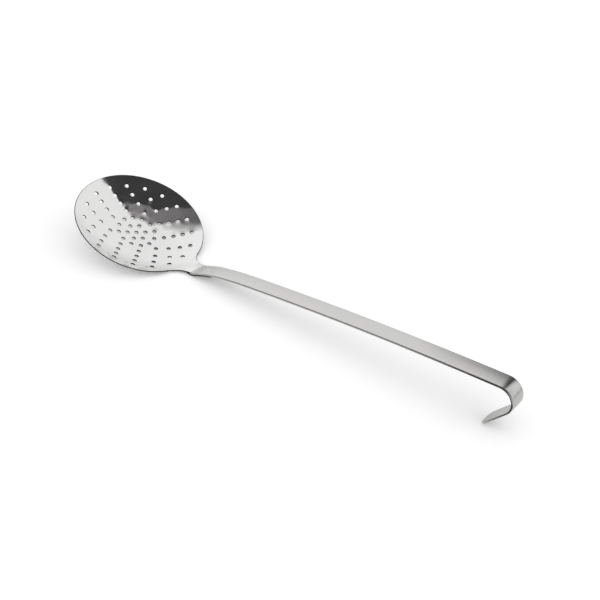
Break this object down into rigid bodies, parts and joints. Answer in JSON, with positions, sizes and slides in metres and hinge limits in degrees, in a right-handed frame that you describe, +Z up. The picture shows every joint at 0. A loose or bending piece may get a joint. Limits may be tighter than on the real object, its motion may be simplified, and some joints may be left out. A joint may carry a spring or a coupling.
{
  "type": "perforated ladle",
  "caption": "Perforated kitchen ladle: shallow polished round bowl with rings of drain holes, welded to a long satin strap handle that ends in a hanging hook.",
  "frame": {"origin": "on the table that the ladle lies on, under the middle of its overall box", "axes": "+X along the handle from the bowl to the hook, +Z up from the table, +Y to the left looking along +X"},
  "size_m": [0.5898, 0.161, 0.0596],
  "materials": {
    "polished_steel": "mirror polished",
    "satin_steel": "satin, brushed along the strap",
    "weld_metal": "ground weld"
  },
  "bodies": {
    "root": {"perforated_bowl": "polished_steel", "handle_strap": "satin_steel", "seam_weld": "weld_metal", "plug_weld_front": "weld_metal", "plug_weld_rear": "weld_metal"}
  },
  "joints": []
}
